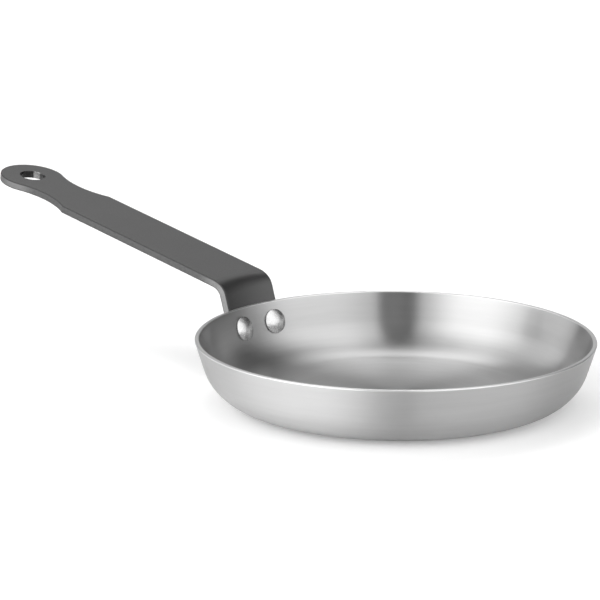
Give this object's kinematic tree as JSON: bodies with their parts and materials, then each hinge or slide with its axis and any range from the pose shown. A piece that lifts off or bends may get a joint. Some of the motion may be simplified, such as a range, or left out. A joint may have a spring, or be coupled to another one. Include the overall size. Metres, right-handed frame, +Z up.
{
  "type": "pancake pan",
  "caption": "Low round steel pancake pan with sloping walls and a long flat strip handle, riveted on, with a hanging hole in its round end.",
  "frame": {"origin": "centre of the underside of the flat base", "axes": "+Z up, square to the base; -X points along the handle, away from the pan; the two rivets are on the -X side of the wall"},
  "size_m": [0.3865, 0.2, 0.0795],
  "materials": {
    "pan_steel": "spun and brushed, satin",
    "handle_finish": "dark grey, satin",
    "rivet_steel": "plain, softly polished"
  },
  "bodies": {
    "root": {"pan_body": "pan_steel", "handle": "handle_finish", "rivet_left": "rivet_steel", "rivet_right": "rivet_steel"}
  },
  "joints": []
}
